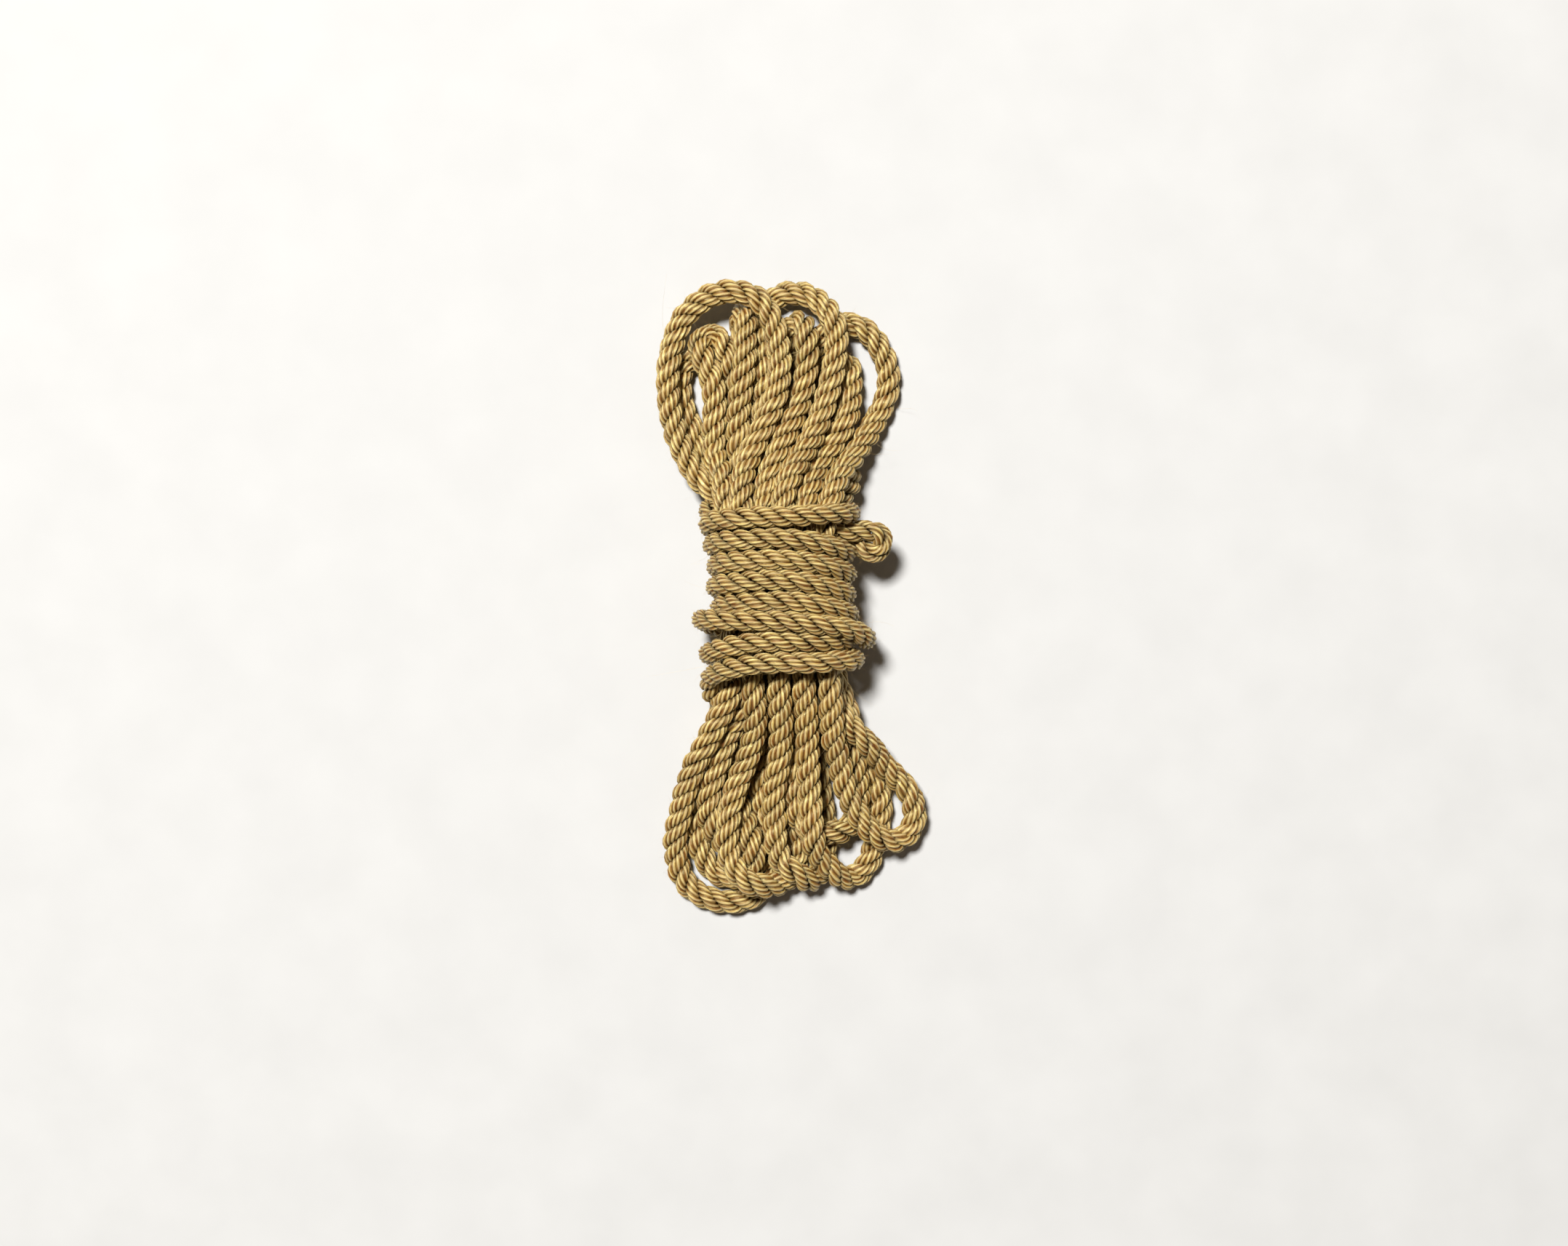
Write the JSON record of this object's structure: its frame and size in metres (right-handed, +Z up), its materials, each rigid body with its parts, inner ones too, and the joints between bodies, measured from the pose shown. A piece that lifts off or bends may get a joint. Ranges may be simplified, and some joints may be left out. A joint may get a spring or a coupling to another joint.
{
  "type": "lead rope",
  "caption": "Three-strand jute lead rope made up as a hank, with long bights at both ends, wound round its middle and held by a tucked bight.",
  "frame": {"origin": "on the surface that the hank lies on, under the middle of its bounding box", "axes": "+Z up off the surface, +Y along the hank towards the end with eight bights, +X towards the side where the tucked bight stands out"},
  "size_m": [0.0857, 0.2023, 0.0394],
  "materials": {
    "jute_rope": "natural laid fibre, dull with bright fibre ends",
    "whipping_twine": "waxed twine, dull"
  },
  "bodies": {
    "root": {"gathered_runs": "jute_rope", "tucked_end": "jute_rope", "end_whipping": "whipping_twine", "wrap_lead": "jute_rope", "wrap_turn_1": "jute_rope", "wrap_turn_2": "jute_rope", "wrap_turn_3": "jute_rope", "wrap_turn_4": "jute_rope", "wrap_turn_5": "jute_rope", "wrap_turn_6": "jute_rope", "wrap_turn_7": "jute_rope", "wrap_turn_8": "jute_rope", "tucked_bight": "jute_rope", "top_bight_1": "jute_rope", "top_bight_2": "jute_rope", "top_bight_3": "jute_rope", "top_bight_4": "jute_rope", "top_bight_5": "jute_rope", "top_bight_6": "jute_rope", "top_bight_7": "jute_rope", "top_bight_8": "jute_rope", "bottom_bight_1": "jute_rope", "bottom_bight_2": "jute_rope", "bottom_bight_3": "jute_rope", "bottom_bight_4": "jute_rope", "bottom_bight_5": "jute_rope", "bottom_bight_6": "jute_rope", "bottom_bight_7": "jute_rope", "start_tail": "jute_rope", "start_whipping": "whipping_twine"}
  },
  "joints": []
}
